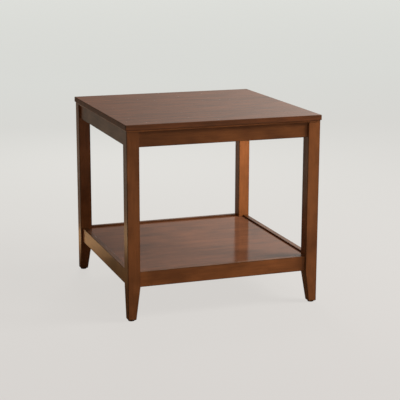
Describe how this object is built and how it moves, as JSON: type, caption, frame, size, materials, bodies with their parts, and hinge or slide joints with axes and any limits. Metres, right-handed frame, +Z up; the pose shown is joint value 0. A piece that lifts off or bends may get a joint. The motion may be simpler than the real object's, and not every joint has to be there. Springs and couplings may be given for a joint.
{
  "type": "end table with shelf",
  "caption": "Square wooden end table: thin overhanging top, tapered square legs, aprons, and a shelf panel framed by lower rails near the floor.",
  "frame": {"origin": "on the floor under the middle of the table, bottom centre of its box", "axes": "+Z up, +X to the right along the front, +Y to the back, so the front faces -Y"},
  "size_m": [0.6096, 0.6096, 0.5842],
  "materials": {
    "top_wood": "veneered board, dark reddish-brown stain, satin lacquer",
    "frame_wood": "solid wood, dark reddish-brown stain, satin lacquer",
    "shelf_wood": "veneered board, dark reddish-brown stain, satin lacquer",
    "plain_wood": "planed, unfinished",
    "dowel_wood": "turned, unfinished",
    "zinc_steel": "zinc plated",
    "glide_plastic": "moulded, matte"
  },
  "bodies": {
    "root": {"table_top": "top_wood", "sub_top": "frame_wood", "leg_front_left": "frame_wood", "leg_front_right": "frame_wood", "leg_back_right": "frame_wood", "leg_back_left": "frame_wood", "apron_front": "frame_wood", "apron_right": "frame_wood", "apron_back": "frame_wood", "apron_left": "frame_wood", "shelf_rail_front": "frame_wood", "shelf_rail_right": "frame_wood", "shelf_rail_back": "frame_wood", "shelf_rail_left": "frame_wood", "shelf_panel": "shelf_wood", "shelf_cleat_front": "plain_wood", "shelf_cleat_right": "plain_wood", "shelf_cleat_back": "plain_wood", "shelf_cleat_left": "plain_wood", "corner_block_front_left": "plain_wood", "corner_block_front_right": "plain_wood", "corner_block_back_right": "plain_wood", "corner_block_back_left": "plain_wood", "glide_front_left": "glide_plastic", "glide_front_right": "glide_plastic", "glide_back_right": "glide_plastic", "glide_back_left": "glide_plastic", "apron_dowels": "dowel_wood", "shelf_rail_dowels": "dowel_wood", "hanger_bolts": "zinc_steel", "bolt_washers": "zinc_steel", "bolt_nuts": "zinc_steel", "top_screws": "zinc_steel", "block_screws": "zinc_steel", "cleat_screws": "zinc_steel", "shelf_screws": "zinc_steel", "glide_nails": "zinc_steel"}
  },
  "joints": []
}
